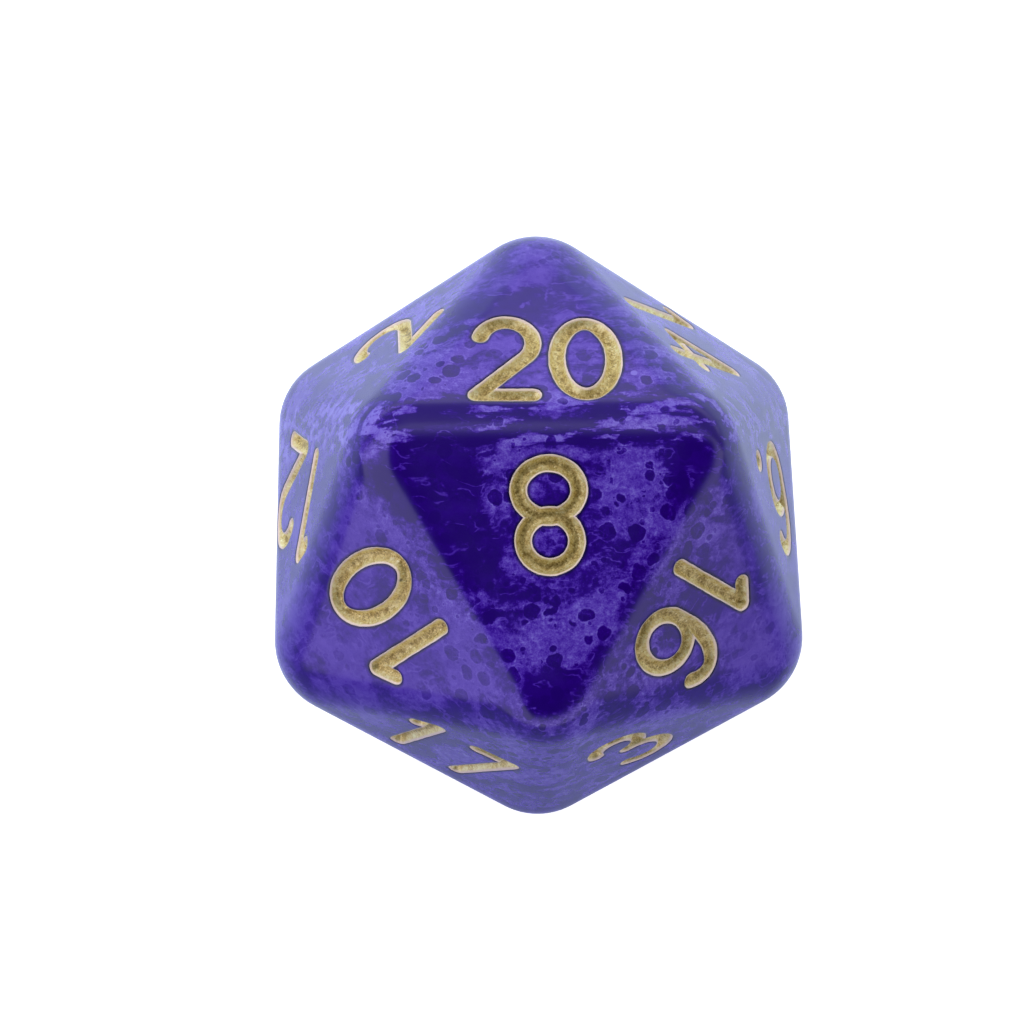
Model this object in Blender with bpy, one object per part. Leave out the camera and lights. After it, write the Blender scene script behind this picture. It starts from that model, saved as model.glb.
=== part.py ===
"""A twenty-sided die: one cast resin body with its numbers engraved and filled with gold paint.

Metres, +Z up. The die lies on the face numbered 13, so that 8 is on top and the 20 leans towards +Y.
The origin is on the ground under the die's centre.
"""

import itertools
import math

import bmesh
import bpy
import numpy as np
from mathutils import Matrix, Vector
from mathutils.geometry import delaunay_2d_cdt

MM = 0.001

# Body
ACROSS_FACES = 20.0 * MM      # from a face to the one opposite
ROUNDING = 2.94 * MM          # radius that tumbling leaves on every edge and corner
ROUNDING_STEPS = 5            # flats across a rounded edge
CORNER_PULL = 1.6             # spreads the facets of a rounded corner evenly from its tip
CREASE = math.radians(25)     # an edge between facets that turns more than this stays sharp

# Numbers, as they are drawn for one size of die: on a larger or smaller one they grow or shrink with its faces.
DRAWN_FOR = 20.0 * MM         # that size, across the faces
DIGIT_HEIGHT = 4.6 * MM
DIGIT_WIDTH = 2.80 * MM
STROKE_WIDTH = 0.66 * MM
DIGIT_PITCH = 3.0 * MM        # centre of the tens to centre of the units
DOT_WIDTH = 0.86 * MM         # tells 6 from 9
DOT_RIGHT = 2.45 * MM         # from the digit's centre to the dot's
DOT_DOWN = 1.85 * MM
BEND_STEP = 22.5              # degrees of turn between two points of a curved stroke
SHARP_TURN = 60               # degrees: a stroke that turns more at a point is rounded outside it
FLAT_TURN = math.radians(1.5) # an outline point that turns less than this is left out
GRID = 1e-5 * MM              # outline points are rounded to this, so that shared corners coincide
NEAR = 0.01                   # points of an outline closer than this many grid steps are one

# Engraving and paint
ENGRAVED_DEPTH = 0.45 * MM
PAINT_SINK = 0.12 * MM        # the paint's top, below the face
PAINT_GAP = 0.02 * MM         # all round the paint, and under it
CUTTER_RISE = 0.3 * MM        # how far a cutter stands out of its face

GOLDEN = (1 + math.sqrt(5)) / 2
DRAWING = ACROSS_FACES / DRAWN_FOR

# Corners are numbered from the top: 0 1 2 round the upper face, 3 4 5, 6 7 8, and 9 10 11 round the lower.
OPPOSITE_CORNER = {0: 9, 1: 10, 2: 11, 3: 6, 4: 7, 5: 8, 9: 0, 10: 1, 11: 2, 6: 3, 7: 4, 8: 5}

# Each number of one half of the die: the corner its top points to, then its face's other two corners.
# The opposite face carries 21 less that number, turned the opposite way.
FACE_CORNERS = {
    20: (3, 1, 2), 8: (0, 1, 2), 10: (4, 0, 2), 16: (5, 0, 1), 2: (8, 2, 3),
    12: (4, 2, 8), 14: (7, 1, 3), 6: (5, 1, 7), 17: (0, 4, 6), 3: (0, 5, 6),
}

# How far the engraver set a number off the middle of its face: right, up, and turned in degrees.
OFF_CENTRE = {
    20: (0.15 * MM, -0.50 * MM, -1), 8: (-0.16 * MM, -0.36 * MM, 1), 10: (-0.18 * MM, 0.06 * MM, 2),
    16: (0.0, 0.0, 1.5), 12: (0.08 * MM, 0.10 * MM, -3), 14: (-0.33 * MM, -0.17 * MM, 2),
    17: (-0.38 * MM, 0.05 * MM, 4), 2: (0.0, -0.20 * MM, -8), 3: (0.02 * MM, 0.31 * MM, 3),
    6: (-0.40 * MM, 0.26 * MM, 0),
}


def clear_scene():
    for obj in list(bpy.data.objects):
        bpy.data.objects.remove(obj)


def make_material(name, colour, roughness, metallic):
    material = bpy.data.materials.new(name)
    material.use_nodes = True
    shader = material.node_tree.nodes["Principled BSDF"]
    shader.inputs["Base Color"].default_value = (*colour, 1)
    shader.inputs["Roughness"].default_value = roughness
    shader.inputs["Metallic"].default_value = metallic
    material.diffuse_color = (*colour, 1)
    return material


def corner_places(inradius):
    """The icosahedron's corners when it lies on a face: four rings of three, from the top down."""
    edge = inradius * 2 * math.sqrt(3) / GOLDEN**2
    near = edge / math.sqrt(3)
    far = near * GOLDEN
    shoulder = math.sqrt((edge * math.sin(2 * math.pi / 5)) ** 2 - far**2)
    rings = ((near, -90, inradius), (far, 90, shoulder), (far, -90, -shoulder), (near, 90, -inradius))
    places = []
    for radius, first, height in rings:
        for turn in (0, 120, 240):
            angle = math.radians(first + turn)
            places.append((radius * math.cos(angle), radius * math.sin(angle), height))
    return np.array(places)


def find_faces(places):
    """Every three corners that are all one edge apart."""
    edge = min(math.dist(places[0], other) for other in places[1:])
    beside = [[math.dist(a, b) < 1.01 * edge for b in places] for a in places]
    return [
        (i, j, k)
        for i, j, k in itertools.combinations(range(len(places)), 3)
        if beside[i][j] and beside[j][k] and beside[i][k]
    ]


def unit(vector):
    return vector / np.linalg.norm(vector)


def corner_patch(corner, first, second, outward):
    """A fifth of a corner's rounding: a triangle of directions from the corner's own to two face normals."""
    n = ROUNDING_STEPS
    grid = {
        (i, j): corner + ROUNDING * unit((n - i - j) * outward + i * first + j * second)
        for i in range(n + 1)
        for j in range(n + 1 - i)
    }
    for i in range(n):
        for j in range(n - i):
            yield grid[i, j], grid[i + 1, j], grid[i, j + 1]
            if i + j < n - 1:
                yield grid[i + 1, j], grid[i + 1, j + 1], grid[i, j + 1]


def edge_strip(start, end, first, second):
    """An edge's rounding: the flats from one face's normal to the next one's."""
    for step in range(ROUNDING_STEPS):
        here = ROUNDING * unit((ROUNDING_STEPS - step) * first + step * second)
        there = ROUNDING * unit((ROUNDING_STEPS - step - 1) * first + (step + 1) * second)
        yield start + here, end + here, end + there, start + there


def rounded_icosahedron():
    """A smaller icosahedron grown by the rounding radius: flat faces, rounded edges, ball corners."""
    places = corner_places(ACROSS_FACES / 2 - ROUNDING)
    faces = find_faces(places)
    normal = {face: unit(sum(places[i] for i in face)) for face in faces}
    pieces = [[places[i] + ROUNDING * normal[face] for i in face] for face in faces]
    for one, other in itertools.combinations(faces, 2):
        shared = sorted(set(one) & set(other))
        if len(shared) < 2:
            continue
        start, end = places[shared[0]], places[shared[1]]
        pieces.extend(edge_strip(start, end, normal[one], normal[other]))
        for corner in (start, end):
            pieces.extend(corner_patch(corner, normal[one], normal[other], CORNER_PULL * unit(corner)))
    return pieces


def add_object(name, mesh, material, parent=None, frame=Matrix.Identity(4)):
    obj = bpy.data.objects.new(name, mesh)
    obj.data.materials.append(material)
    bpy.context.scene.collection.objects.link(obj)
    obj.parent = parent
    obj.matrix_local = frame
    return obj


def make_body(material):
    grid = bmesh.new()
    for piece in rounded_icosahedron():
        grid.faces.new([grid.verts.new(point) for point in piece])
    bmesh.ops.remove_doubles(grid, verts=grid.verts, dist=0.0001 * MM)
    bmesh.ops.recalc_face_normals(grid, faces=grid.faces)
    mesh = bpy.data.meshes.new("die_body")
    grid.to_mesh(mesh)
    grid.free()
    mesh.shade_smooth()
    mesh.set_sharp_from_angle(angle=CREASE)
    body = add_object("die_body", mesh, material)
    body.location.z = ACROSS_FACES / 2
    return body


def line(*points):
    return np.array(points, float)


def arc(centre, radii, start, end):
    """Points along part of an ellipse, between two angles in degrees, turning evenly from one to the next."""
    ratio = radii[1] / radii[0]
    facing = [math.degrees(math.atan2(math.sin(t), ratio * math.cos(t))) for t in np.radians((start, end))]
    swept = facing[1] - facing[0]
    swept += 360 * round((end - start - swept) / 360)
    facings = facing[0] + np.linspace(0, swept, max(2, round(abs(swept) / BEND_STEP)) + 1)
    across, along = np.cos(np.radians(facings)), ratio * np.sin(np.radians(facings))
    size = np.hypot(across, along)
    return np.asarray(centre) + np.column_stack((radii[0] * across, radii[1] * along)) / size[:, None]


def digit_strokes(digit):
    """A digit's centre lines. Its cell runs from -w to w across and from -h to h up."""
    if digit == "9":
        return [-stroke for stroke in digit_strokes("6")]
    w, h = (DIGIT_WIDTH - STROKE_WIDTH) / 2, (DIGIT_HEIGHT - STROKE_WIDTH) / 2
    hook = arc((0.02 * w, 0.42 * h), (0.95 * w, 0.58 * h), 162, -40)
    upper = arc((0, 0.55 * h), (0.85 * w, 0.45 * h), 168, -90)
    lower = arc((0, -0.45 * h), (w, 0.55 * h), 90, -148)
    belly = arc((-0.04 * w, -0.36 * h), (0.98 * w, 0.64 * h), 140, -150)
    back = arc((0.1 * w, -0.05 * h), (1.06 * w, 1.05 * h), 180, 50)
    return {
        "0": [arc((0, 0), (w, 0.965 * h), 0, 360)],
        "1": [line((-0.32 * w, 0.7 * h), (0.3 * w, h), (0.3 * w, -h))],
        "2": [np.vstack((hook, line((-w, -h), (0.95 * w, -h))))],
        "3": [np.vstack((upper, lower[1:]))],
        "4": [line((0.42 * w, -h), (0.42 * w, h), (-w, -0.42 * h), (w, -0.42 * h))],
        "5": [np.vstack((line((0.8 * w, h), (-0.62 * w, h)), belly))],
        "6": [arc((0, -0.4 * h), (0.96 * w, 0.6 * h), 180, 540), np.vstack((line((-0.96 * w, -0.4 * h)), back))],
        "7": [line((-0.75 * w, 0.93 * h), (0.62 * w, h), (0.05 * w, -h))],
        "8": [
            arc((0, 0.482 * h), (0.92 * w, 0.482 * h), 0, 360),
            arc((0, -0.463 * h), (1.04 * w, 0.501 * h), 0, 360),
        ],
    }[digit]


def fan(centre, width, start, end):
    """A slice of a disc, between two angles in degrees, its corners anticlockwise."""
    return np.vstack((centre, arc(centre, (width / 2, width / 2), min(start, end), max(start, end))))


def heading(direction):
    return math.degrees(math.atan2(direction[1], direction[0]))


def turn_between(before, after):
    """The left turn from one direction to the next, in degrees from -180 to 180."""
    return (heading(after) - heading(before) + 180) % 360 - 180


def stroke_patches(points, width, joins):
    """The flat shapes whose union is a stroke: a band on each stretch, rounded at turns and free ends."""
    ahead = np.diff(points, axis=0)
    ahead /= np.linalg.norm(ahead, axis=1)[:, None]
    closed = np.allclose(points[0], points[-1])
    before = np.vstack((ahead[-1:] if closed else ahead[:1], ahead))
    after = np.vstack((ahead, ahead[:1] if closed else ahead[-1:]))
    turns = [turn_between(a, b) for a, b in zip(before, after)]
    patches = []
    for start, way in enumerate(ahead):
        sides = []
        for station in (start, start + 1):
            smooth = abs(turns[station]) < SHARP_TURN
            along = unit(before[station] + after[station]) if smooth else way
            sides.append(width / 2 / (along @ way) * np.array((-along[1], along[0])))
        a, b = points[start], points[start + 1]
        patches.append([a + sides[0], a, a - sides[0], b - sides[1], b, b + sides[1]])
    for point, way, turn in zip(points, before, turns):
        if abs(turn) >= SHARP_TURN:
            outside = heading(way) - math.copysign(90, turn)
            patches.append(fan(point, width, outside, outside + turn))
    for point, way in ((points[0], heading(ahead[0]) + 90), (points[-1], heading(ahead[-1]) - 90)):
        if not closed and not any(np.allclose(point, join) for join in joins):
            patches.append(fan(point, width, way, way + 180))
    return patches


def slab(name, patches, height):
    """The union of flat shapes, joined in one outline and raised from z = 0 to the height."""
    points, faces = [], []
    for patch in patches:
        faces.append(list(range(len(points), len(points) + len(patch))))
        points.extend(Vector(np.round(point / GRID)) for point in patch)
    places, _, triangles, _, _, sources = delaunay_2d_cdt(points, [], faces, 1, NEAR, True)
    flat = bmesh.new()
    corners = [flat.verts.new((*(place * GRID), 0)) for place in places]
    for triangle, source in zip(triangles, sources):
        if source:
            flat.faces.new([corners[i] for i in triangle])
    bmesh.ops.delete(flat, geom=[v for v in flat.verts if not v.link_faces], context="VERTS")
    bmesh.ops.dissolve_limit(flat, angle_limit=FLAT_TURN, verts=flat.verts, edges=flat.edges)
    raised = bmesh.ops.extrude_face_region(flat, geom=list(flat.faces))["geom"]
    top = [item for item in raised if isinstance(item, bmesh.types.BMVert)]
    bmesh.ops.translate(flat, verts=top, vec=(0, 0, height))
    bmesh.ops.recalc_face_normals(flat, faces=flat.faces)
    mesh = bpy.data.meshes.new(name)
    flat.to_mesh(mesh)
    flat.free()
    return mesh


def mark_patches(mark, width_change):
    """The flat shapes of a digit or a dot, each stroke wider by the change."""
    if mark == ".":
        return [fan((DOT_RIGHT, -DOT_DOWN), DOT_WIDTH + width_change, 0, 360)[1:-1]]
    patches = []
    strokes = digit_strokes(mark)
    for stroke in strokes:
        joins = [point for other in strokes if other is not stroke for point in other]
        patches.extend(stroke_patches(stroke, STROKE_WIDTH + width_change, joins))
    return patches


def face_frame(number):
    """A frame on a number's face: X along the number's line, Y towards its top, Z out of the die."""
    corners = FACE_CORNERS.get(number)
    if corners is None:
        corners = [OPPOSITE_CORNER[corner] for corner in FACE_CORNERS[21 - number]]
    top, *others = (Vector(corner_places(ACROSS_FACES / 2)[corner]) for corner in corners)
    middle = (top + others[0] + others[1]) / 3
    outward = middle.normalized()
    up = (top - middle).normalized()
    right, rise, turn = OFF_CENTRE.get(number, (0, 0, 0))
    axes = Matrix((up.cross(outward), up, outward)).transposed().to_4x4()
    placed = Matrix.Translation((right, rise, 0)) @ Matrix.Rotation(math.radians(turn), 4, "Z")
    return Matrix.Translation(middle) @ axes @ Matrix.Diagonal((DRAWING, DRAWING, 1, 1)) @ placed


def number_marks(number):
    """Each mark of a number, its name and how far it stands from the number's middle."""
    digits = str(number)
    if len(digits) == 2:
        return [
            (f"number_{number}_tens", digits[0], -DIGIT_PITCH / 2),
            (f"number_{number}_units", digits[1], DIGIT_PITCH / 2),
        ]
    marks = [(f"number_{number}", digits, 0)]
    if number in (6, 9):
        marks.append((f"number_{number}_dot", ".", 0))
    return marks


def engrave(body, paint, number, cutters):
    """Cuts a number into its face and lays the paint in the cut."""
    frame = face_frame(number)
    for name, mark, aside in number_marks(number):
        depth = ENGRAVED_DEPTH
        cut_frame = frame @ Matrix.Translation((aside, 0, -depth))
        cut_mesh = slab(f"{name}_cutter", mark_patches(mark, 0), depth + CUTTER_RISE)
        cutter = add_object(f"{name}_cutter", cut_mesh, paint, body, cut_frame)
        cutter.hide_render = True
        cutter.display_type = "WIRE"
        cutters.objects.link(cutter)
        fill_frame = frame @ Matrix.Translation((aside, 0, PAINT_GAP - depth))
        thickness = depth - PAINT_GAP - PAINT_SINK
        fill_mesh = slab(f"{name}_paint", mark_patches(mark, -2 * PAINT_GAP / DRAWING), thickness)
        add_object(f"{name}_paint", fill_mesh, paint, body, fill_frame)


def main():
    clear_scene()
    resin = make_material("pearl_resin", (0.085, 0.035, 0.36), 0.16, 0.0)
    paint = make_material("gold_paint", (0.50, 0.36, 0.12), 0.45, 0.6)
    body = make_body(resin)
    cutters = bpy.data.collections.new("cutters")
    for number in range(1, 21):
        engrave(body, paint, number, cutters)
    cut = body.modifiers.new("engraving", "BOOLEAN")
    cut.operation = "DIFFERENCE"
    cut.operand_type = "COLLECTION"
    cut.collection = cutters
    cut.solver = "EXACT"


main()
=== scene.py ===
import itertools
import math

import bpy
import numpy as np
from mathutils import Matrix, Vector
from mathutils.geometry import delaunay_2d_cdt


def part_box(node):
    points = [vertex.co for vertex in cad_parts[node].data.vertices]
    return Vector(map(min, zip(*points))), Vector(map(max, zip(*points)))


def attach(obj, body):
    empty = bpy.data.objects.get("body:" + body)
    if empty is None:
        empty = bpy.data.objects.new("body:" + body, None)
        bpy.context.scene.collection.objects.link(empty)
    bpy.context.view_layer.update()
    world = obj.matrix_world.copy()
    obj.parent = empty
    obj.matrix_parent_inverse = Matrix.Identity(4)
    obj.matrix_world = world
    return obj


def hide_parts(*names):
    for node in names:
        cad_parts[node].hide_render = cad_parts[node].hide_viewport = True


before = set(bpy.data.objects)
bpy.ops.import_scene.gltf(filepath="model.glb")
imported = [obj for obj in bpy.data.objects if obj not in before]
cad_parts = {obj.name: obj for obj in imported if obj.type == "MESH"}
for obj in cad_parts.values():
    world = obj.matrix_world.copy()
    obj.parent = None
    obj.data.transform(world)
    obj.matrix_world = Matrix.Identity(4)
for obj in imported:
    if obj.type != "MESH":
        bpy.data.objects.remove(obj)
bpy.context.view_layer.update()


# ---- The resin body: shape ----
# One lump of pearl casting resin, cast in a silicone mould and tumbled until its twenty faces are
# flat, its edges are round and its skin is glossy. Lengths here are in millimetres from its centre.

MM = 0.001
LOW, HIGH = (np.array(corner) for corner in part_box("die_body"))
CENTRE = (LOW + HIGH) / 2
INRADIUS = (HIGH[2] - LOW[2]) / 2 / MM
ROUNDING = 2.94
FACE_STEPS = 44               # lattice steps along a face's edge
SKIN_ROUNDS = 30              # rounds of closing in on the skin along a ray
BOW = 0.02                    # how far a face's plan bows out at its middle, as a share
NOISE_CELLS = 32              # cells along a side of a noise's lattice, before it repeats
GOLDEN = (1 + math.sqrt(5)) / 2
OPPOSITE_CORNER = {0: 9, 1: 10, 2: 11, 3: 6, 4: 7, 5: 8, 9: 0, 10: 1, 11: 2, 6: 3, 7: 4, 8: 5}
FACE_CORNERS = {              # the corner that a number's top points to, then its face's other two
    20: (3, 1, 2), 8: (0, 1, 2), 10: (4, 0, 2), 16: (5, 0, 1), 2: (8, 2, 3),
    12: (4, 2, 8), 14: (7, 1, 3), 6: (5, 1, 7), 17: (0, 4, 6), 3: (0, 5, 6),
}


def corner_places():
    """The sharp icosahedron's corners on four level rings of three, from the top ring down.

    Each ring's radius and height follow from the inradius and the golden ratio.
    """
    edge = INRADIUS * 2 * math.sqrt(3) / GOLDEN**2
    near = edge / math.sqrt(3)
    far = near * GOLDEN
    shoulder = math.sqrt((edge * math.sin(2 * math.pi / 5)) ** 2 - far**2)
    rings = ((near, -90, INRADIUS), (far, 90, shoulder), (far, -90, -shoulder), (near, 90, -INRADIUS))
    turned = [
        (radius, math.radians(first + turn), height)
        for radius, first, height in rings
        for turn in (0, 120, 240)
    ]
    return np.array([(r * math.cos(a), r * math.sin(a), h) for r, a, h in turned])


def face_axes(number):
    """Three rows: right along the number's line, up to its top corner, and outward from the die."""
    corners = FACE_CORNERS.get(number)
    if corners is None:
        corners = [OPPOSITE_CORNER[corner] for corner in FACE_CORNERS[21 - number]]
    top, *others = corner_places()[list(corners)]
    middle = (top + sum(others)) / 3
    outward = middle / np.linalg.norm(middle)
    up = (top - middle) / np.linalg.norm(top - middle)
    return np.array((np.cross(up, outward), up, outward))


def face_triangle(share):
    """The corners of a face's triangle in its own plane, at a share of the sharp face's size."""
    reach = share * np.linalg.norm(corner_places()[0, :2])
    angles = np.radians((90, 210, 330))
    return reach * np.column_stack((np.cos(angles), np.sin(angles)))


def distance_to_lines(places, starts, ends):
    """From each place to the nearest of some straight lines.

    It is the distance to the place's foot on a line, with the foot kept between the line's ends.
    """
    along = ends - starts
    length = np.maximum((along**2).sum(1), 1e-12)
    share = np.clip(((places[:, None] - starts) * along).sum(2) / length, 0, 1)
    foot = starts + share[..., None] * along
    return np.linalg.norm(places[:, None] - foot, axis=2).min(1)


def skin_height(places):
    """How high the polished skin stands over a place in a face's plane, from the die's centre.

    It is the full inradius over the flat triangle. Beyond that it is a ball or a roller of the
    rounding radius: the square root of radius squared less distance squared, from its own centre.
    """
    flat = face_triangle(1 - ROUNDING / INRADIUS)
    nexts = np.roll(flat, -1, axis=0)
    sides = nexts - flat
    from_corner = places[:, None] - flat
    inside = (sides[:, 0] * from_corner[..., 1] - sides[:, 1] * from_corner[..., 0] >= 0).all(1)
    gap = np.where(inside, 0, distance_to_lines(places, flat, nexts))
    return INRADIUS - ROUNDING + np.sqrt(np.maximum(ROUNDING**2 - gap**2, 0))


def to_skin(rays):
    """Where rays from the centre, through points of the sharp face, come out of the skin, in plan."""
    places = rays
    for _ in range(SKIN_ROUNDS):
        places = rays * (skin_height(places) / INRADIUS)[:, None]
    return places


def bulged(places):
    """A face's plan with its sides bowed out a little, so that points along a side join to each other.

    The points of the sharp face in line with places on the skin move out by a small share, which
    falls from the middle to nothing at the corners with the square of the distance.
    """
    rays = places * (INRADIUS / skin_height(places))[:, None]
    share = (rays**2).sum(1) / (face_triangle(1)[0] ** 2).sum()
    return rays * (1 + BOW - BOW * share)[:, None]


def join(places):
    """The triangles between places in a plane, no circle round one holding another place."""
    return np.array(delaunay_2d_cdt(places.tolist(), [], [], 0, 1e-9, False)[2])


def face_lattice():
    """Points spread evenly over the sharp face, rows and columns at equal shares of its corners."""
    across, along = np.meshgrid(np.arange(FACE_STEPS + 1), np.arange(FACE_STEPS + 1))
    within = across + along <= FACE_STEPS
    shares = np.column_stack((across[within], along[within], (FACE_STEPS - across - along)[within]))
    return shares / FACE_STEPS @ face_triangle(1)


def soft_noise(places, size, seed):
    """Smooth random heights from -1 to 1.

    Random numbers sit on a cubic lattice of the given size, and a place blends its eight nearest.
    """
    lattice = np.random.default_rng(seed).uniform(-1, 1, (NOISE_CELLS,) * 3)
    cell = np.floor(places / size).astype(int)
    share = places / size - cell
    share = share**2 * (3 - 2 * share)
    height = np.zeros(len(places))
    for corner in itertools.product((0, 1), repeat=3):
        weight = np.where(corner, share, 1 - share).prod(1)
        height += weight * lattice[tuple(((cell + corner) % NOISE_CELLS).T)]
    return height


# ---- The resin body: engraved numbers ----
# The mould's numbers leave a rounded groove in each face, one stroke wide. Opposite faces add up to
# twenty-one. A stroke's centre lines are drawn in the number's own plane, then set on the face.

DIGIT_HEIGHT, DIGIT_WIDTH, STROKE_WIDTH = 4.6, 2.80, 0.66
DIGIT_PITCH = 3.0
DOT_WIDTH, DOT_RIGHT, DOT_DOWN = 0.86, 2.45, 1.85
BEND_STEP = 5                 # degrees of turn between two points of a curved stroke
ROW_STEP = 0.075              # spacing of points along a groove
RING_POINTS = 28              # points round a stroke's end
SHARP_TURN = 20               # degrees of turn that get a ring of points
ON_LEVEL = 0.003              # how far a point may lie from its level and still be kept
POINT_GAP = 0.012             # the grid on which points are one and the same
CLEAR_OF_GROOVE = 0.05        # from a groove's last level to the nearest lattice point
WANDER = ((0.012, 0.35, 0), (0.007, 0.13, 2))             # height, size and seed of an edge's wander
WANDER_FADE = 0.1             # distance over which the wander dies out on the skin
WELD_DIGITS = 4               # decimals to which points of neighbouring faces agree
GROOVE = np.array((           # distance out from the groove's edge, and depth below the skin there
    (-0.33, 0.45), (-0.13, 0.45), (-0.045, 0.26), (0.0, 0.022), (0.02, 0.006), (0.05, 0.001), (0.15, 0.0),
))
OFF_CENTRE = {                # right, up, and turned in degrees
    20: (0.15, -0.50, -1), 8: (-0.16, -0.36, 1), 10: (-0.18, 0.06, 2), 16: (0, 0, 1.5), 12: (0.08, 0.10, -3),
    14: (-0.33, -0.17, 2), 17: (-0.38, 0.05, 4), 2: (0, -0.20, -8), 3: (0.02, 0.31, 3), 6: (-0.40, 0.26, 0),
}


def line(*points):
    return np.array(points, float)


def arc(centre, radii, start, end):
    """Points along part of an ellipse: radius times cosine and sine, turning evenly from one to the next."""
    ratio = radii[1] / radii[0]
    facing = [math.degrees(math.atan2(math.sin(t), ratio * math.cos(t))) for t in np.radians((start, end))]
    swept = facing[1] - facing[0]
    swept += 360 * round((end - start - swept) / 360)
    turns = facing[0] + np.linspace(0, swept, max(2, round(abs(swept) / BEND_STEP)) + 1)
    across, along = np.cos(np.radians(turns)), ratio * np.sin(np.radians(turns))
    size = np.hypot(across, along)
    return np.asarray(centre) + np.column_stack((radii[0] * across, radii[1] * along)) / size[:, None]


def digit_strokes(digit):
    """A digit's centre lines. Its cell runs from -w to w across and from -h to h up."""
    if digit == "9":
        return [-stroke for stroke in digit_strokes("6")]
    w, h = (DIGIT_WIDTH - STROKE_WIDTH) / 2, (DIGIT_HEIGHT - STROKE_WIDTH) / 2
    hook = arc((0.02 * w, 0.42 * h), (0.95 * w, 0.58 * h), 162, -40)
    upper = arc((0, 0.55 * h), (0.85 * w, 0.45 * h), 168, -90)
    lower = arc((0, -0.45 * h), (w, 0.55 * h), 90, -148)
    belly = arc((-0.04 * w, -0.36 * h), (0.98 * w, 0.64 * h), 140, -150)
    back = arc((0.1 * w, -0.05 * h), (1.06 * w, 1.05 * h), 180, 50)
    return {
        "0": [arc((0, 0), (w, 0.965 * h), 0, 360)],
        "1": [line((-0.32 * w, 0.7 * h), (0.3 * w, h), (0.3 * w, -h))],
        "2": [np.vstack((hook, line((-w, -h), (0.95 * w, -h))))],
        "3": [np.vstack((upper, lower[1:]))],
        "4": [line((0.42 * w, -h), (0.42 * w, h), (-w, -0.42 * h), (w, -0.42 * h))],
        "5": [np.vstack((line((0.8 * w, h), (-0.62 * w, h)), belly))],
        "6": [
            arc((0, -0.4 * h), (0.96 * w, 0.6 * h), 180, 540),
            np.vstack((line((-0.96 * w, -0.4 * h)), back)),
        ],
        "7": [line((-0.75 * w, 0.93 * h), (0.62 * w, h), (0.05 * w, -h))],
        "8": [
            arc((0, 0.482 * h), (0.92 * w, 0.482 * h), 0, 360),
            arc((0, -0.463 * h), (1.04 * w, 0.501 * h), 0, 360),
        ],
        ".": [line((DOT_RIGHT, -DOT_DOWN), (DOT_RIGHT, -DOT_DOWN))],
    }[digit]


def half_width(mark):
    return (DOT_WIDTH if mark == "." else STROKE_WIDTH) / 2


def number_marks(number):
    """Each digit or dot of a number: its name, what it is, and how far right of the middle it stands."""
    digits = str(number)
    if len(digits) == 2:
        return [("_tens", digits[0], -DIGIT_PITCH / 2), ("_units", digits[1], DIGIT_PITCH / 2)]
    return [("", digits, 0.0)] + [("_dot", ".", 0.0)] * (number in (6, 9))


def number_to_face(places, number, aside):
    """Turns and shifts places from a mark's own plane to its face's."""
    right, up, turn = OFF_CENTRE.get(number, (0, 0, 0))
    turn = math.radians(turn)
    across, along = places[:, 0] + aside, places[:, 1]
    return np.column_stack((
        right + across * math.cos(turn) - along * math.sin(turn),
        up + across * math.sin(turn) + along * math.cos(turn),
    ))


def face_to_number(places, number, aside):
    """The way back, from a face's plane to a mark's own."""
    right, up, turn = OFF_CENTRE.get(number, (0, 0, 0))
    turn = math.radians(turn)
    across, along = places[:, 0] - right, places[:, 1] - up
    return np.column_stack((
        across * math.cos(turn) + along * math.sin(turn) - aside,
        along * math.cos(turn) - across * math.sin(turn),
    ))


def edge_distance(places, mark):
    """How far places in a mark's plane lie outside its groove, less than nothing inside it."""
    strokes = digit_strokes(mark)
    starts = np.vstack([stroke[:-1] for stroke in strokes])
    ends = np.vstack([stroke[1:] for stroke in strokes])
    return distance_to_lines(places, starts, ends) - half_width(mark)


def rows_along(mark, levels, step):
    """Rows of points that keep a level distance from a mark's groove edge, ready to join in triangles.

    Each centre line is walked in even steps, with a point on its left and right normal for each
    level, and a ring round each end and sharp turn. Points nearer to another stroke are dropped.
    """
    found = []
    half = half_width(mark)
    for stroke in digit_strokes(mark):
        along = np.diff(stroke, axis=0)
        length = np.maximum(np.hypot(*along.T), 1e-9)
        travelled = np.concatenate(((0,), np.cumsum(length)))
        stations = np.linspace(0, travelled[-1], max(2, round(travelled[-1] / step)) + 1)
        part = np.clip(np.searchsorted(travelled, stations, side="right") - 1, 0, len(along) - 1)
        way = along[part] / length[part, None]
        places = stroke[part] + way * (stations - travelled[part])[:, None]
        normal = np.column_stack((-way[:, 1], way[:, 0]))
        turn = np.abs(np.diff(np.unwrap(np.arctan2(along[:, 1], along[:, 0]))))
        hubs = np.vstack((stroke[:1], stroke[1:-1][turn > math.radians(SHARP_TURN)], stroke[-1:]))
        angles = np.linspace(0, 2 * math.pi, RING_POINTS, endpoint=False)
        ring = np.column_stack((np.cos(angles), np.sin(angles)))
        for level in levels:
            reach = half + level
            rows = np.vstack((places + reach * normal, places - reach * normal))
            rings = (hubs[:, None] + reach * ring).reshape(-1, 2)
            near = np.vstack((rows, rings))
            found.append(near[np.abs(edge_distance(near, mark) - level) < ON_LEVEL])
    found = np.vstack(found)
    _, first = np.unique(np.round(found / POINT_GAP).astype(int), axis=0, return_index=True)
    return found[np.sort(first)]


def groove_wander(places):
    """The small sideways wander of a moulded groove's edge, as two smooth noises of place."""
    return np.column_stack([
        sum(height * soft_noise(places, size, seed + later) for height, size, later in WANDER)
        for seed in (11, 12)
    ])


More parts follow.
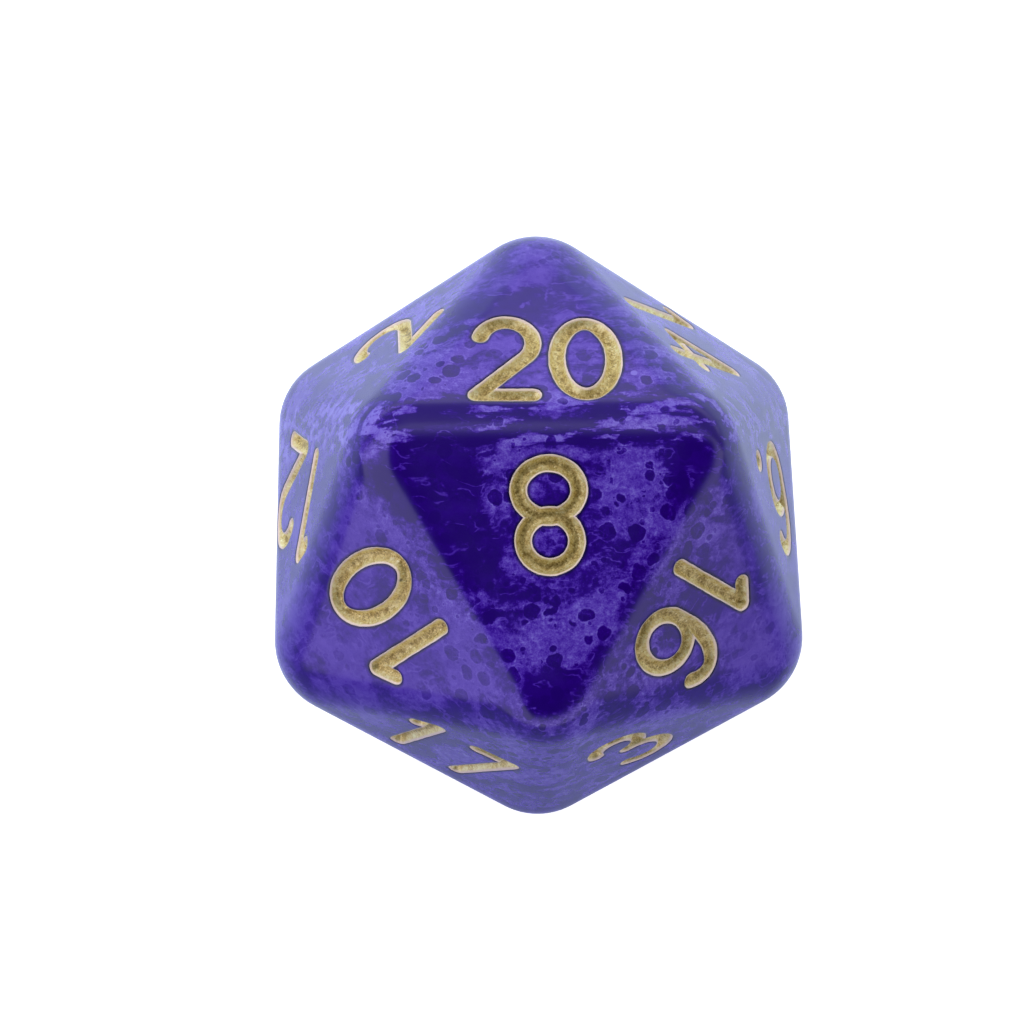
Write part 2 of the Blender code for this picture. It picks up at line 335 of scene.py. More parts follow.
def face_mesh(number):
    """One engraved face: its places in space, its triangles, and each place's distance from a groove."""
    axes = face_axes(number)
    marks = number_marks(number)
    outer = GROOVE[-1, 0]

    def to_groove(places):
        each = [edge_distance(face_to_number(places, number, aside), mark) for _, mark, aside in marks]
        return np.min(each, axis=0)

    lattice = to_skin(face_lattice())
    lattice = lattice[to_groove(lattice) > outer + CLEAR_OF_GROOVE]
    rows = [
        number_to_face(rows_along(mark, GROOVE[:, 0], ROW_STEP), number, aside)
        for _, mark, aside in marks
    ]
    plan = np.vstack([lattice, *rows])
    level = to_groove(plan)
    height = skin_height(plan) - np.interp(level, GROOVE[:, 0], GROOVE[:, 1])
    inward = np.column_stack((plan, height)) @ axes
    fade = np.clip((outer - level) / WANDER_FADE, 0, 1)[:, None]
    shift = groove_wander(inward) * fade
    return np.column_stack((plan + shift, height)) @ axes, join(bulged(plan)), level


def make_mesh(name, places, triangles, attribute, values):
    """A smooth mesh from places in millimetres round the die's centre, with one number at each point."""
    mesh = bpy.data.meshes.new(name)
    mesh.vertices.add(len(places))
    mesh.vertices.foreach_set("co", (places * MM + CENTRE).astype(np.float32).ravel())
    mesh.loops.add(triangles.size)
    mesh.loops.foreach_set("vertex_index", triangles.astype(np.int32).ravel())
    mesh.polygons.add(len(triangles))
    mesh.polygons.foreach_set("loop_start", np.arange(0, triangles.size, 3, dtype=np.int32))
    mesh.update(calc_edges=True)
    mesh.validate()
    mesh.shade_smooth()
    mesh.attributes.new(attribute, "FLOAT", "POINT").data.foreach_set("value", values.astype(np.float32))
    piece = bpy.data.objects.new(name, mesh)
    bpy.context.scene.collection.objects.link(piece)
    return piece


faces = [face_mesh(number) for number in range(1, 21)]
places = np.vstack([face[0] for face in faces])
levels = np.concatenate([face[2] for face in faces])
starts = np.cumsum([0] + [len(face[0]) for face in faces[:-1]])
triangles = np.vstack([face[1] + start for face, start in zip(faces, starts)])
_, first, same = np.unique(np.round(places, WELD_DIGITS), axis=0, return_index=True, return_inverse=True)
triangles = same.reshape(-1)[triangles]
whole = (triangles != np.roll(triangles, 1, axis=1)).all(1)
body = make_mesh("resin_body", places[first], triangles[whole], "from_groove", np.clip(levels[first], -1, 1))
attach(body, "root")
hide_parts("die_body")
print("body", len(first), "points", whole.sum(), "triangles")


# ---- The gold paint ----
# Gold lacquer wiped into each groove. It dries as a thin coat that dips towards the middle of the
# stroke, with a grainy floor, and thins to a line where it meets the polished skin, made pale there by a
# painted highlight.

PAINT_LEVELS = (-0.004, -0.03, -0.065, -0.11, -0.16, -0.215, -0.27, -0.33)
PAINT_TOP = np.array((        # distance out from the groove's edge, and depth below the skin there
    (-0.43, 0.30), (-0.30, 0.295), (-0.21, 0.265), (-0.13, 0.19), (-0.065, 0.085), (-0.035, 0.03),
    (0.0, 0.012),
))
PAINT_STEP = 0.06
OFF_GROOVE = 0.008            # from the groove's surface up to the coat's underside
GRAIN = ((0.6, 0.16, 21), (0.4, 0.085, 22))               # weight, size and seed of the coat's grain
LUMP_SIZE, LUMP_SEED = 0.5, 23
GRAIN_HEIGHT, LUMP_HEIGHT = 0.030, 0.018
GRAIN_FADE = 0.12             # distance in from the rim over which the grain comes up


def paint_outline(mark):
    """The points and triangles of a mark filled from edge to edge, and the lines round its rim.

    A triangle is kept where its middle lies inside the groove. A point where two stretches of rim
    only touch is taken out and the rest joined again, until the rim is a plain loop.
    """
    rows = rows_along(mark, PAINT_LEVELS, PAINT_STEP)
    while True:
        triangles = join(rows)
        triangles = triangles[edge_distance(rows[triangles].mean(1), mark) < PAINT_LEVELS[0]]
        ends = np.vstack((triangles[:, [0, 1]], triangles[:, [1, 2]], triangles[:, [2, 0]]))
        _, index, count = np.unique(np.sort(ends, axis=1), axis=0, return_index=True, return_counts=True)
        rim = ends[index[count == 1]]
        touching = np.bincount(rim.ravel(), minlength=len(rows)) > 2
        unused = np.bincount(triangles.ravel(), minlength=len(rows)) == 0
        if not (touching | unused).any():
            return rows, triangles, rim
        rows = rows[~(touching | unused)]


def paint_mesh(number, mark, aside):
    """A coat of paint as a closed shell: its grainy top, and an underside just off the groove."""
    axes = face_axes(number)
    rows, triangles, rim = paint_outline(mark)
    level = edge_distance(rows, mark)
    plan = number_to_face(rows, number, aside)
    skin = skin_height(plan)
    under = skin - np.interp(level, GROOVE[:, 0], GROOVE[:, 1]) + OFF_GROOVE
    shift = groove_wander(np.column_stack((plan, under - OFF_GROOVE)) @ axes)
    top = skin - np.interp(level, PAINT_TOP[:, 0], PAINT_TOP[:, 1])
    there = np.column_stack((plan, top)) @ axes
    grain = sum(weight * soft_noise(there, size, seed) for weight, size, seed in GRAIN)
    lumps = soft_noise(there, LUMP_SIZE, LUMP_SEED)
    depth = np.clip(-level / GRAIN_FADE, 0, 1)
    top += depth * (GRAIN_HEIGHT * grain + LUMP_HEIGHT * lumps)
    shell = np.vstack((np.column_stack((plan + shift, top)), np.column_stack((plan + shift, under)))) @ axes
    n = len(rows)
    walls = np.vstack((
        np.column_stack((rim[:, 1], rim[:, 0], rim[:, 0] + n)),
        np.column_stack((rim[:, 1], rim[:, 0] + n, rim[:, 1] + n)),
    ))
    return shell, np.vstack((triangles, triangles[:, ::-1] + n, walls)), np.concatenate((-level, -level))


coats = []
for number in range(1, 21):
    for suffix, mark, aside in number_marks(number):
        name = f"number_{number}{suffix}"
        places, triangles, from_rim = paint_mesh(number, mark, aside)
        coat = make_mesh(f"gold_{name}", places, triangles, "from_rim", from_rim)
        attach(coat, "root")
        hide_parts(f"{name}_paint")
        coats.append(coat)
print("paint", sum(len(coat.data.polygons) for coat in coats), "triangles")


# ---- Pearl resin: colour and skin ----
# Violet casting resin with mica pearl stirred in. Where the pearl is thin the resin looks deep
# blue-violet; where it gathers it is milky. Air bubbles near the skin show as dark round spots.

PER_MM = 1000                 # object coordinates are in metres, and patterns are sized in millimetres
BUBBLE_WANDER = 0.34          # how far noise moves a place before its bubble is looked up
SMALLEST_BUBBLE = 0.35        # as a share of the largest
RESIN_IOR = 1.52
RESIN_ROUGHNESS = (0.09, 0.13)                            # the least, and how much noise adds
PEARL_COLOURS = (             # from clear resin, zero, to the thickest pearl, one
    (0.05, (0.013, 0.0, 0.130, 1)), (0.28, (0.021, 0.0, 0.195, 1)), (0.5, (0.052, 0.013, 0.310, 1)),
    (0.72, (0.094, 0.043, 0.405, 1)), (1.0, (0.17, 0.125, 0.53, 1)),
)


def new_material(name):
    material = bpy.data.materials.new(name)
    material.use_nodes = True
    material.node_tree.nodes.clear()
    return material, material.node_tree


def add_node(tree, kind, inputs=None, **settings):
    """A new node with its settings. Each input takes a plain value, or the output of another node."""
    made = tree.nodes.new("ShaderNode" + kind)
    for name, value in settings.items():
        setattr(made, name, value)
    for name, value in (inputs or {}).items():
        if isinstance(value, bpy.types.NodeSocket):
            tree.links.new(value, made.inputs[name])
        else:
            made.inputs[name].default_value = value
    return made


def combine(tree, one, other, operation):
    """Two values combined by one operation of the math node."""
    return add_node(tree, "Math", {0: one, 1: other}, operation=operation).outputs[0]


def sum_of(tree, constant, *terms):
    """A constant plus each value times its weight."""
    total = constant
    for value, weight in terms:
        total = add_node(tree, "Math", {0: value, 1: weight, 2: total}, operation="MULTIPLY_ADD").outputs[0]
    return total


def remap(tree, value, low, high, to_low=0.0, to_high=1.0):
    """A value eased from one range to another, and held at the ends."""
    settings = {"Value": value, "From Min": low, "From Max": high, "To Min": to_low, "To Max": to_high}
    return add_node(tree, "MapRange", settings, interpolation_type="SMOOTHSTEP").outputs["Result"]


def noise(tree, place, size, detail=4.0, rough=0.6, output="Fac"):
    """Cloudy noise whose blobs are about the given size in millimetres."""
    settings = {"Vector": place, "Scale": 1 / size, "Detail": detail, "Roughness": rough}
    return add_node(tree, "TexNoise", settings).outputs[output]


def stretched(tree, place, scale, turn=(0, 0, 0)):
    return add_node(tree, "Mapping", {"Vector": place, "Scale": scale, "Rotation": turn}).outputs[0]


def new_group(name, inputs, outputs):
    """An empty node group with its sockets made, and its input and output nodes."""
    group = bpy.data.node_groups.new(name, "ShaderNodeTree")
    for in_out, sockets in (("INPUT", inputs), ("OUTPUT", outputs)):
        for label, kind in sockets:
            group.interface.new_socket(label, in_out=in_out, socket_type="NodeSocket" + kind)
    return group, group.nodes.new("NodeGroupInput"), group.nodes.new("NodeGroupOutput")


def make_spot_group():
    """One inside a ball's core and nothing outside the ball.

    Between them it eases with the distance from the centre, divided by the radius.
    """
    given_sockets = (("Place", "Vector"), ("Centre", "Vector"), ("Radius", "Float"), ("Core", "Float"))
    group, given, out = new_group("soft_spot", given_sockets, (("Mask", "Float"),))
    ends = {0: given.outputs["Place"], 1: given.outputs["Centre"]}
    away = add_node(group, "VectorMath", ends, operation="DISTANCE").outputs["Value"]
    share = combine(group, away, given.outputs["Radius"], "DIVIDE")
    mask = remap(group, share, given.outputs["Core"], 1.0, 1.0, 0.0)
    group.links.new(mask, out.inputs["Mask"])
    return group


def make_bubble_group():
    """Round spots and their rims: in each random cell, a ball sized by the cell's own random colour.

    Its radius is a random share, from 0.35 to 1, of the largest. A cell outside the given share of
    cells has none. The place wanders a little with noise, so the balls aren't quite round.
    """
    given_sockets = (("Place", "Vector"), ("Spacing", "Float"), ("Share", "Float"), ("Largest", "Float"))
    group, given, out = new_group("bubbles", given_sockets, (("Mask", "Float"), ("Ring", "Float")))
    scale = combine(group, 1.0, given.outputs["Spacing"], "DIVIDE")
    wobble = noise(group, given.outputs["Place"], 0.55, 2, 0.5, "Color")
    moved = {0: wobble, 1: (BUBBLE_WANDER,) * 3, 2: given.outputs["Place"]}
    place = add_node(group, "VectorMath", moved, operation="MULTIPLY_ADD").outputs[0]
    cells = add_node(group, "TexVoronoi", {"Vector": place, "Scale": scale, "Randomness": 1.0})
    draw = add_node(group, "SeparateColor", {"Color": cells.outputs["Color"]})
    exists = combine(group, draw.outputs["Red"], given.outputs["Share"], "LESS_THAN")
    sized = {"Value": draw.outputs["Green"], "To Min": SMALLEST_BUBBLE}
    size = add_node(group, "MapRange", sized).outputs["Result"]
    radius = combine(group, combine(group, size, given.outputs["Largest"], "MULTIPLY"), exists, "MULTIPLY")
    inside = combine(group, radius, cells.outputs["Distance"], "SUBTRACT")
    group.links.new(remap(group, inside, -0.01, 0.06), out.inputs["Mask"])
    near = combine(group, inside, 0.0, "ABSOLUTE")
    ring = combine(group, remap(group, near, 0.0, 0.09, 1.0, 0.0), exists, "MULTIPLY")
    group.links.new(ring, out.inputs["Ring"])
    return group


def spot(tree, place, centre, radius, core=0.3):
    """A mask round one centre, in millimetres from the foot of the die's middle."""
    made = add_node(tree, "Group", node_tree=SPOT)
    tree.links.new(place, made.inputs["Place"])
    made.inputs["Centre"].default_value = centre
    made.inputs["Radius"].default_value = radius
    made.inputs["Core"].default_value = core
    return made.outputs["Mask"]


def bubbles(tree, place, spacing, share, largest):
    made = add_node(tree, "Group", {}, node_tree=BUBBLES)
    tree.links.new(place, made.inputs["Place"])
    for label, value in (("Spacing", spacing), ("Share", share), ("Largest", largest)):
        made.inputs[label].default_value = value
    return made.outputs["Mask"], made.outputs["Ring"]


SPOT, BUBBLES = make_spot_group(), make_bubble_group()
THIN_PEARL = (                # centre, radius and weight of places where little pearl settled
    ((-4.2, 1.7, 20.0), 2.6, 0.30), ((-2.8, -1.3, 20.0), 1.7, 0.22), ((0.1, -6.0, 20.0), 1.5, 0.34),
    ((5.4, 1.9, 19.8), 1.3, 0.26), ((3.2, -3.6, 19.2), 1.3, 0.2), ((4.4, -6.2, 17.3), 1.8, 0.12),
    ((5.9, -2.8, 17.6), 1.8, 0.1),
)
THICK_PEARL = (               # and where more of it did
    ((3.1, 0.6, 20.0), 2.4, 0.22), ((0.6, -3.6, 20.0), 1.9, 0.14), ((-4.6, 5.6, 18.9), 1.9, 0.34),
    ((-3.2, -5.8, 19.0), 1.9, 0.16), ((-8.2, -4.2, 15.0), 3.2, 0.14), ((-3.9, -2.9, 19.3), 0.9, 0.2),
    ((8.6, -4.0, 14.8), 2.4, 0.12),
)
EVEN_PEARL = (                # and where it was stirred evenly, so the skin shows few marks
    ((-8.0, -2.6, 14.5), 7.0, 0.75), ((8.2, -2.0, 14.5), 6.0, 0.7), ((0.0, 10.0, 13.5), 5.0, 0.4),
    ((0.4, 7.6, 16.8), 4.6, 0.5), ((-3.4, -5.6, 18.6), 2.8, 0.5), ((-10.5, 3.5, 13.5), 5.5, 0.75),
    ((10.5, 4.0, 13.5), 5.5, 0.75),
)
# Two thin dark arcs near the top face's upper corners, drawn only as darker colour.
DARK_ARCS = (                     # a thin dark arc's centre and radius, then where it shows and how far
    ((-5.5, 3.5, 19.6), 1.5, (-6.7, 4.3, 19.3), 1.5), ((5.1, 3.3, 19.6), 1.5, (6.3, 4.2, 19.3), 1.6),
)
FLECK = (3.42, 5.62, 18.3)    # one white fleck beside the twenty


def streaks(tree, place):
    """Dark and pale patches drawn out sideways along the ridge between the two largest faces.
    They are partly streaks of pearl and partly a painted reflection of the pale haze on the rounded ridge,
    most of all the pale patch at its left end.
    """
    across = add_node(tree, "SeparateXYZ", {0: place})
    level = sum_of(tree, -0.5, (across.outputs["Y"], 1.0), (noise(tree, place, 2.5, 2, 0.5), 1.0))
    ridge = combine(tree, remap(tree, level, 2.5, 3.3), remap(tree, level, 4.5, 5.3, 1.0, 0.0), "MULTIPLY")
    drawn = noise(tree, stretched(tree, place, (0.32, 1.4, 1.4)), 0.85, 4, 0.62)
    patch = sum_of(tree, 0.0, (remap(tree, drawn, 0.45, 0.58, -0.34, 0.26), 1.0),
                   (remap(tree, across.outputs["X"], -5.8, -4.6, 0.22, 0.0), 1.0))
    return combine(tree, patch, ridge, "MULTIPLY")


def seams(tree, place):
    """One along each thin arc: a shell of a ball's skin, cut off by a second ball."""
    total = 0.0
    for centre, radius, middle, reach in DARK_ARCS:
        away = add_node(tree, "VectorMath", {0: place, 1: centre}, operation="DISTANCE").outputs["Value"]
        off = combine(tree, sum_of(tree, -radius, (away, 1.0)), 0.0, "ABSOLUTE")
        shell = remap(tree, off, 0.06, 0.20, 1.0, 0.0)
        total = sum_of(tree, total, (shell, spot(tree, place, middle, reach, 0.2)))
    return total


def place_in_mm(tree):
    """Where a point is, in millimetres from the foot of the die's middle."""
    coordinates = add_node(tree, "TexCoord").outputs["Object"]
    return add_node(tree, "Mapping", {"Vector": coordinates, "Scale": (PER_MM,) * 3}).outputs[0]


def colours_of(tree, value, stops):
    """A ramp of colours, each at its position."""
    ramp = add_node(tree, "ValToRGB", {"Fac": value})
    elements = ramp.color_ramp.elements
    for element, (position, colour) in zip(elements, (stops[0], stops[-1])):
        element.position, element.color = position, colour
    for position, colour in stops[1:-1]:
        elements.new(position).color = colour
    return ramp.outputs["Color"]


def multiplied(tree, colour, factor):
    """A colour times a factor or another colour."""
    made = add_node(tree, "Mix", {0: 1.0}, data_type="RGBA", blend_type="MULTIPLY")
    tree.links.new(colour, made.inputs[6])
    tree.links.new(factor, made.inputs[7])
    return made.outputs[2]


def pearl_thickness(tree, place, stirred, granule, ridge):
    """How thick the pearl lies: from clear resin, zero, to milky, one.

    Cloudy noises are summed with the placed spots, and the sum is eased between two limits.
    """
    cloud = noise(tree, stirred, 2.2, 4, 0.55)
    streak = noise(tree, stretched(tree, stirred, (0.28, 1.5, 1.5)), 1.0, 4, 0.6)
    streaky = spot(tree, place, (0.0, 7.0, 18.0), 6.5, 0.5)
    bands = combine(tree, sum_of(tree, -0.5, (streak, 1.0)), streaky, "MULTIPLY")
    settled = [(spot(tree, place, centre, radius), -weight) for centre, radius, weight in THIN_PEARL]
    settled += [(spot(tree, place, centre, radius), weight) for centre, radius, weight in THICK_PEARL]
    thick = sum_of(tree, -0.42, (cloud, 1.15), (granule, 0.35), (streak, 0.35), (bands, 1.0),
                   (ridge, 0.5), *settled)
    return remap(tree, thick, 0.36, 0.64)


def evenness(tree, place):
    """How evenly the pearl was stirred: the placed spots' sum, held below a limit."""
    spots = [(spot(tree, place, centre, radius, 0.5), weight) for centre, radius, weight in EVEN_PEARL]
    return combine(tree, sum_of(tree, 0.0, *spots), 0.85, "MINIMUM")


def curls(tree, place, fold, milky):
    """Thin pale curls where a fold of noise crosses its middle, fainter where the resin is milky."""
    crest = combine(tree, sum_of(tree, -0.5, (fold, 1.0)), 0.0, "ABSOLUTE")
    gate = remap(tree, noise(tree, place, 0.8, 3, 0.6), 0.44, 0.58)
    curl = combine(tree, remap(tree, crest, 0.0, 0.045, 1.0, 0.0), gate, "MULTIPLY")
    return combine(tree, curl, sum_of(tree, 0.42, (milky, -0.30)), "MULTIPLY")


def make_resin():
    """Glossy resin whose colour follows one number, the pearl seen at each point of the skin."""
    material, tree = new_material("pearl_resin")
    place = place_in_mm(tree)
    stir = {0: noise(tree, place, 3.0, 2, 0.5, "Color"), 1: (2.4,) * 3, 2: place}
    stirred = add_node(tree, "VectorMath", stir, operation="MULTIPLY_ADD").outputs[0]
    granule = noise(tree, place, 0.26, 4, 0.7)
    grain = noise(tree, place, 0.06, 2, 0.6)
    # Partly painted reflection: pale and dark patches along the ridge between the two largest faces.
    ridge = streaks(tree, place)
    milky = pearl_thickness(tree, place, stirred, granule, ridge)
    even = evenness(tree, place)
    uneven = combine(tree, 1.0, even, "SUBTRACT")
    # Round bubbles and their faint rims, fine grains, and thin curls of pearl in the clear places.
    big, big_rim = bubbles(tree, place, 0.74, 0.85, 0.50)
    small, small_rim = bubbles(tree, place, 0.36, 0.55, 0.42)
    speck, _ = bubbles(tree, place, 1.10, 0.35, 0.06)
    fold = noise(tree, stretched(tree, stirred, (0.6, 1.6, 1.6)), 1.0, 3, 0.5)
    busy = combine(tree, sum_of(tree, 0.22, (milky, 0.9)), uneven, "MULTIPLY")
    rough = sum_of(tree, -0.60, (granule, 0.80), (grain, 0.55), (big, -0.46), (small, -0.32),
                   (big_rim, 0.10), (small_rim, 0.08))
    mild = combine(tree, sum_of(tree, 0.26, (milky, 0.30)), even, "MULTIPLY")
    mixed = sum_of(tree, mild, (sum_of(tree, 0.08, (milky, 0.50)), uneven))
    pearl = sum_of(tree, -0.25, (mixed, 1.0), (rough, busy), (curls(tree, place, fold, milky), 1.0),
                   (fold, 0.50), (ridge, 0.60), (speck, 0.5), (seams(tree, place), -0.9),
                   (spot(tree, place, FLECK, 0.17), 2.0))
    # Painted shade: the skin's colour is darkened where it turns down into a groove,
    # standing in for the dark line that the groove's rounded lip reflects.
    edge = add_node(tree, "Attribute", attribute_name="from_groove").outputs["Fac"]
    lip_shade = remap(tree, edge, 0.03, 0.15, 0.22, 1.0)
    colour = multiplied(tree, colours_of(tree, pearl, PEARL_COLOURS), lip_shade)
    height = sum_of(tree, 0.0, (noise(tree, place, 1.6, 2, 0.5), 1.0), (grain, 0.03))
    bump = add_node(tree, "Bump", {"Height": height, "Strength": 0.35, "Distance": 0.00002})
    least, more = RESIN_ROUGHNESS
    shader = add_node(tree, "BsdfPrincipled", {
        "Base Color": colour, "Normal": bump.outputs[0], "IOR": RESIN_IOR,
        "Roughness": sum_of(tree, least, (noise(tree, place, 0.9, 4, 0.6), more)),
    })
    add_node(tree, "OutputMaterial", {"Surface": shader.outputs[0]})
    return material


body.data.materials.append(make_resin())


# ---- Gold paint: colour and grain ----
# Metallic gold lacquer. Its flakes lie at all angles in the rough groove; the bright grains among
# olive-brown ones are painted glints, lighter colour on some flakes, and the thin pale cream line at the
# skin is a painted highlight.


FLAKE_SIZE = 0.055
# Painted shade: two dark spots in the gold stand in for the shade inside two pinholes.
PINHOLE_SHADE_SPOTS = ((-0.9, 7.5, 16.6), (-5.3, -2.0, 18.3))            # two dark pinholes
PIT_RADIUS, PINHOLE_SHADE_WEIGHT = 0.13, -0.85
# The brightest end of this ramp carries the painted glints.
GOLD_COLOURS = (              # from the dullest flakes, zero, to the brightest, one
    (0.0, (0.17, 0.108, 0.026, 1)), (0.3, (0.40, 0.283, 0.074, 1)), (0.6, (0.80, 0.65, 0.235, 1)),
    (1.0, (1.00, 0.96, 0.54, 1)),
)
# Painted highlight: the cream of the thin line at the skin stands in for light caught on the groove's edge.
RIM_HIGHLIGHT_CREAM = (0.80, 0.66, 0.54, 1)                             # the thin line at the skin
METALLIC = (0.72, 0.05)       # of the gold, and of the cream


def make_gold():
    """Metallic lacquer: random flakes over mottled noise with painted glints on the lighter ones,
    dull in mid-stroke, and a painted highlight in cream at the rim.
    """
    material, tree = new_material("gold_paint")
    place = place_in_mm(tree)
    from_rim = add_node(tree, "Attribute", attribute_name="from_rim").outputs["Fac"]
    mottle = noise(tree, place, 0.34, 5, 0.75)
    flake = add_node(tree, "TexVoronoi", {"Vector": place, "Scale": 1 / FLAKE_SIZE, "Randomness": 1.0})
    # Painted glints: each flake's random value also lightens its colour, and the brightest few are lighter
    # still, standing in for flakes that catch the light.
    facing = add_node(tree, "SeparateColor", {"Color": flake.outputs["Color"]}).outputs["Red"]
    painted_glint = remap(tree, facing, 0.93, 0.97)
    middle = remap(tree, from_rim, 0.10, 0.28)
    tone = sum_of(tree, -0.18, (mottle, 1.50), (facing, 0.32), (middle, -0.30), (painted_glint, 0.12))
    # Painted shade of the two pinholes: the gold's colour darkened in two small spots.
    pinhole_shade = [(spot(tree, place, centre, PIT_RADIUS, 0.4), PINHOLE_SHADE_WEIGHT) for centre in PINHOLE_SHADE_SPOTS]
    pinhole_shaded = multiplied(tree, colours_of(tree, tone, GOLD_COLOURS), sum_of(tree, 1.0, *pinhole_shade))
    # Painted highlight: a pale cream line along the rim of each coat, less metallic than the gold.
    rim_highlight = remap(tree, sum_of(tree, from_rim, (mottle, 0.07)), 0.07, 0.125, 1.0, 0.0)
    base = add_node(tree, "Mix", {0: rim_highlight}, data_type="RGBA")
    tree.links.new(pinhole_shaded, base.inputs[6])
    base.inputs[7].default_value = RIM_HIGHLIGHT_CREAM
    height = sum_of(tree, 0.0, (noise(tree, place, 0.1, 3, 0.7), 1.0), (facing, 0.3))
    bump = add_node(tree, "Bump", {"Height": height, "Strength": 0.7, "Distance": 0.00003})
    shader = add_node(tree, "BsdfPrincipled", {
        "Base Color": base.outputs[2], "Normal": bump.outputs[0],
        "Metallic": remap(tree, rim_highlight, 0.0, 1.0, *METALLIC),
        "Roughness": sum_of(tree, 0.28, (mottle, 0.25)),
    })
    add_node(tree, "OutputMaterial", {"Surface": shader.outputs[0]})
    return material


gold = make_gold()
for coat in coats:
    coat.data.materials.append(gold)


# ---- The studio: floor, surroundings and lamps ----
# A white sheet, lit from overhead, plain to the camera; in what the die reflects it carries a painted shadow
# on the near side and a painted bluish glow beyond the die. The surroundings are pale, but dark over the die
# and in a band ahead of it, so the upper face looks clear while the round edges and the sides look milky.

FLOOR_REACH = 3.0
FLOOR_DROP = 0.00002          # the sheet lies this far below the die
SHEET_WHITE = (0.92, 0.92, 0.92, 1)
SHEET_GLOW = 0.8              # light that the sheet gives to the camera alone, so that it stays white
# Painted light on the sheet, seen only in reflections: a painted shadow near the die, and a painted glow
# beyond it.
NEAR_SHADOW_TINT, FAR_GLOW_TINT = (0.38, 0.42, 0.68, 1), (1.05, 1.24, 1.42, 1)
TINT_FROM, TINT_TO = -0.03, 0.01                          # where the near tint ends and the far one begins
SKY_COLOUR = (0.80, 0.77, 1.06, 1)
CARD_DARKNESS, WALL_DARKNESS = 0.99, 0.75
CORNER_POWER = 4.0


def make_floor():
    """A level square far wider than the die, plain white to the camera.

    To every other ray it is tinted: a painted shadow dims the near side, and beyond the die it is bluish and
    brighter than white, a painted glow that gives back more light than falls on it.
    """
    mesh = bpy.data.meshes.new("floor")
    corners = [(-1, -1), (1, -1), (1, 1), (-1, 1)]
    level = LOW[2] - FLOOR_DROP
    mesh.from_pydata([(x * FLOOR_REACH, y * FLOOR_REACH, level) for x, y in corners], [], [(0, 1, 2, 3)])
    floor = bpy.data.objects.new("floor", mesh)
    bpy.context.scene.collection.objects.link(floor)
    material, tree = new_material("white_sheet")
    seen = add_node(tree, "LightPath").outputs["Is Camera Ray"]
    white = add_node(tree, "BsdfDiffuse", {"Color": SHEET_WHITE}).outputs[0]
    lift = add_node(tree, "Emission", {"Color": (1, 1, 1, 1), "Strength": SHEET_GLOW}).outputs[0]
    white = add_node(tree, "AddShader", {0: white, 1: lift}).outputs[0]
    across = add_node(tree, "SeparateXYZ", {0: add_node(tree, "TexCoord").outputs["Object"]}).outputs["Y"]
    # Painted shadow and glow, seen only in reflections: dim on the near side, brighter than white beyond the
    # die.
    beyond = add_node(tree, "MapRange", {"Value": across, "From Min": TINT_FROM, "From Max": TINT_TO})
    tint = add_node(tree, "Mix", {0: beyond.outputs["Result"]}, data_type="RGBA")
    tint.inputs[6].default_value = NEAR_SHADOW_TINT
    tint.inputs[7].default_value = FAR_GLOW_TINT
    bluish = add_node(tree, "BsdfDiffuse", {"Color": tint.outputs[2]}).outputs[0]
    both = add_node(tree, "MixShader", {0: seen, 1: bluish, 2: white}).outputs[0]
    add_node(tree, "OutputMaterial", {"Surface": both})
    mesh.materials.append(material)


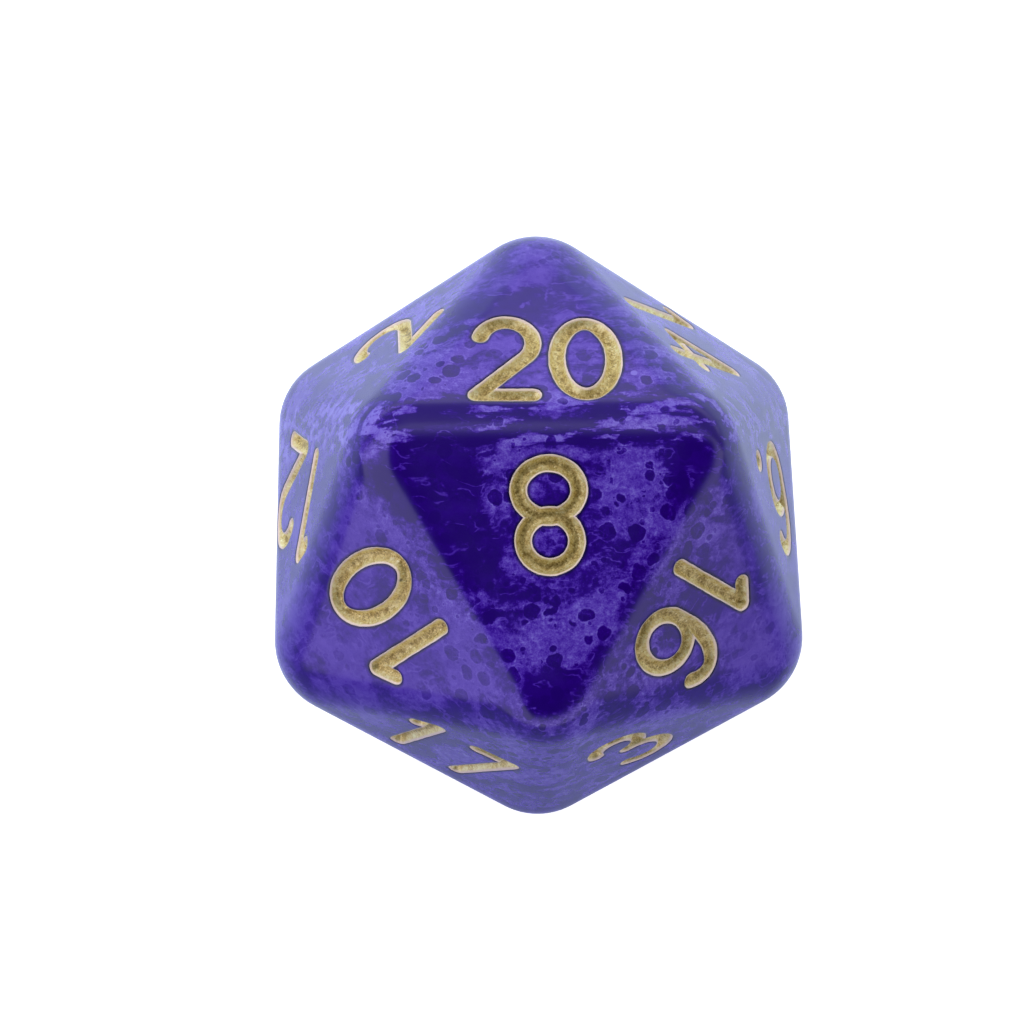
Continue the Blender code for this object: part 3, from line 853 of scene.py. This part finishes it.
def make_surroundings():
    """Light by direction, from the slopes x over z and y over z of each direction.

    A dark card is held over the die. Its left and far edges meet in a round corner, where the
    fourth root of the sum of two fourth powers passes a limit. A darker band stands ahead, and the
    light is stronger from ahead than from behind, and weaker from the right.
    """
    world = bpy.data.worlds.new("surroundings")
    world.use_nodes = True
    tree = world.node_tree
    tree.nodes.clear()
    way = add_node(tree, "SeparateXYZ", {0: add_node(tree, "TexCoord").outputs["Generated"]})
    height = combine(tree, way.outputs["Z"], 0.05, "MAXIMUM")
    right = combine(tree, way.outputs["X"], height, "DIVIDE")
    ahead = combine(tree, way.outputs["Y"], height, "DIVIDE")
    left = combine(tree, sum_of(tree, -1.97, (right, -3.12)), 0.0, "MAXIMUM")
    far = combine(tree, sum_of(tree, 0.60, (ahead, 0.483)), 0.0, "MAXIMUM")
    powers = [(combine(tree, edge, CORNER_POWER, "POWER"), 1.0) for edge in (left, far)]
    out = combine(tree, sum_of(tree, 0.0, *powers), 1 / CORNER_POWER, "POWER")
    card = remap(tree, out, 0.78, 1.10, 1.0, 0.0)
    covered = combine(tree, card, remap(tree, height, 0.16, 0.4), "MULTIPLY")
    wall = combine(tree, remap(tree, ahead, 0.7, 1.25), remap(tree, ahead, 4.0, 8.0, 1.0, 0.0), "MULTIPLY")
    side = remap(tree, way.outputs["Y"], -0.9, 0.5, 1.35, 1.8)
    side = combine(tree, side, remap(tree, way.outputs["X"], 0.1, 0.9, 1.0, 0.78), "MULTIPLY")
    clear = sum_of(tree, 1.0, (covered, -CARD_DARKNESS), (wall, -WALL_DARKNESS))
    strength = combine(tree, clear, side, "MULTIPLY")
    light = add_node(tree, "Background", {"Color": SKY_COLOUR, "Strength": strength}).outputs[0]
    add_node(tree, "OutputWorld", {"Surface": light})
    bpy.context.scene.world = world


def add_lamp(name, place, aim, size, power):
    """A square soft lamp, turned to face a point. The glossy skin doesn't mirror it."""
    data = bpy.data.lights.new(name, "AREA")
    data.size, data.energy = size, power
    lamp = bpy.data.objects.new(name, data)
    bpy.context.scene.collection.objects.link(lamp)
    lamp.location = place
    lamp.rotation_euler = (Vector(place) - Vector(aim)).to_track_quat("Z", "Y").to_euler()
    lamp.visible_glossy = False


make_floor()
make_surroundings()
DIE_MIDDLE = (0, 0, 0.01)
add_lamp("overhead", place=(0.0, 0.05, 0.6), aim=(0, 0, 0), size=0.5, power=1.05)
add_lamp("window", place=(-0.05, 0.24, 0.24), aim=DIE_MIDDLE, size=0.15, power=0.45)
add_lamp("fill", place=(0.26, -0.24, 0.12), aim=DIE_MIDDLE, size=0.25, power=0.36)


# ---- The camera ----
# A phone-sized lens a hand's breadth above the die, all but straight down.

CAMERA_TURN = Vector((-0.02244, 0.02135, 0.00951))        # axis times angle, from straight down
CAMERA_AWAY = Vector((-0.99701, 0.69916, 100.29099)) * MM     # from the die's middle, in its own axes
CAMERA_LENS, CAMERA_SENSOR = 86.97586, 36                 # millimetres
CAMERA_NEAR, CAMERA_FAR = 0.002, 20

turn = Matrix.Rotation(CAMERA_TURN.length, 3, CAMERA_TURN).transposed()
camera = bpy.data.objects.new("camera", bpy.data.cameras.new("camera"))
bpy.context.scene.collection.objects.link(camera)
camera.data.sensor_width = CAMERA_SENSOR
camera.data.lens = CAMERA_LENS
camera.data.clip_start, camera.data.clip_end = CAMERA_NEAR, CAMERA_FAR
camera.matrix_world = Matrix.Translation(Vector(CENTRE) + turn @ CAMERA_AWAY) @ turn.to_4x4()
bpy.context.scene.camera = camera
bpy.context.scene.view_settings.view_transform = "Standard"
